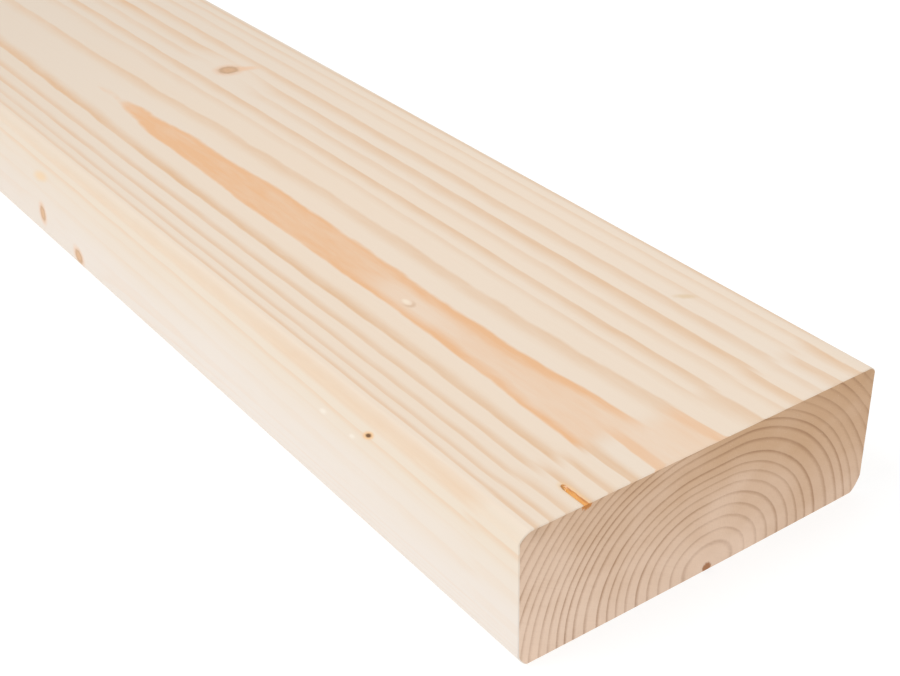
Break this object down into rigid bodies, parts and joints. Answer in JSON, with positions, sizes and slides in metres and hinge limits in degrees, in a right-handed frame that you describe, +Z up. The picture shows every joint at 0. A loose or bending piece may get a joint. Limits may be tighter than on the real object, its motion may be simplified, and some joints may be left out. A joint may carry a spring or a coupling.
{
  "type": "timber plank",
  "caption": "Planed softwood plank with square sawn ends and eased edges, for framing, joists, shelving and formwork.",
  "frame": {"origin": "on the resting face, at the middle of the plank's length and width", "axes": "+X along the grain, towards the end whose rings show the pith and a resin streak; +Y across the wide face, towards the right-hand edge; +Z up, out of the top face, which is the one nearer the bark"},
  "size_m": [2.4, 0.123, 0.042],
  "materials": {
    "spruce": "matte"
  },
  "bodies": {
    "root": {"plank": "spruce"}
  },
  "joints": []
}
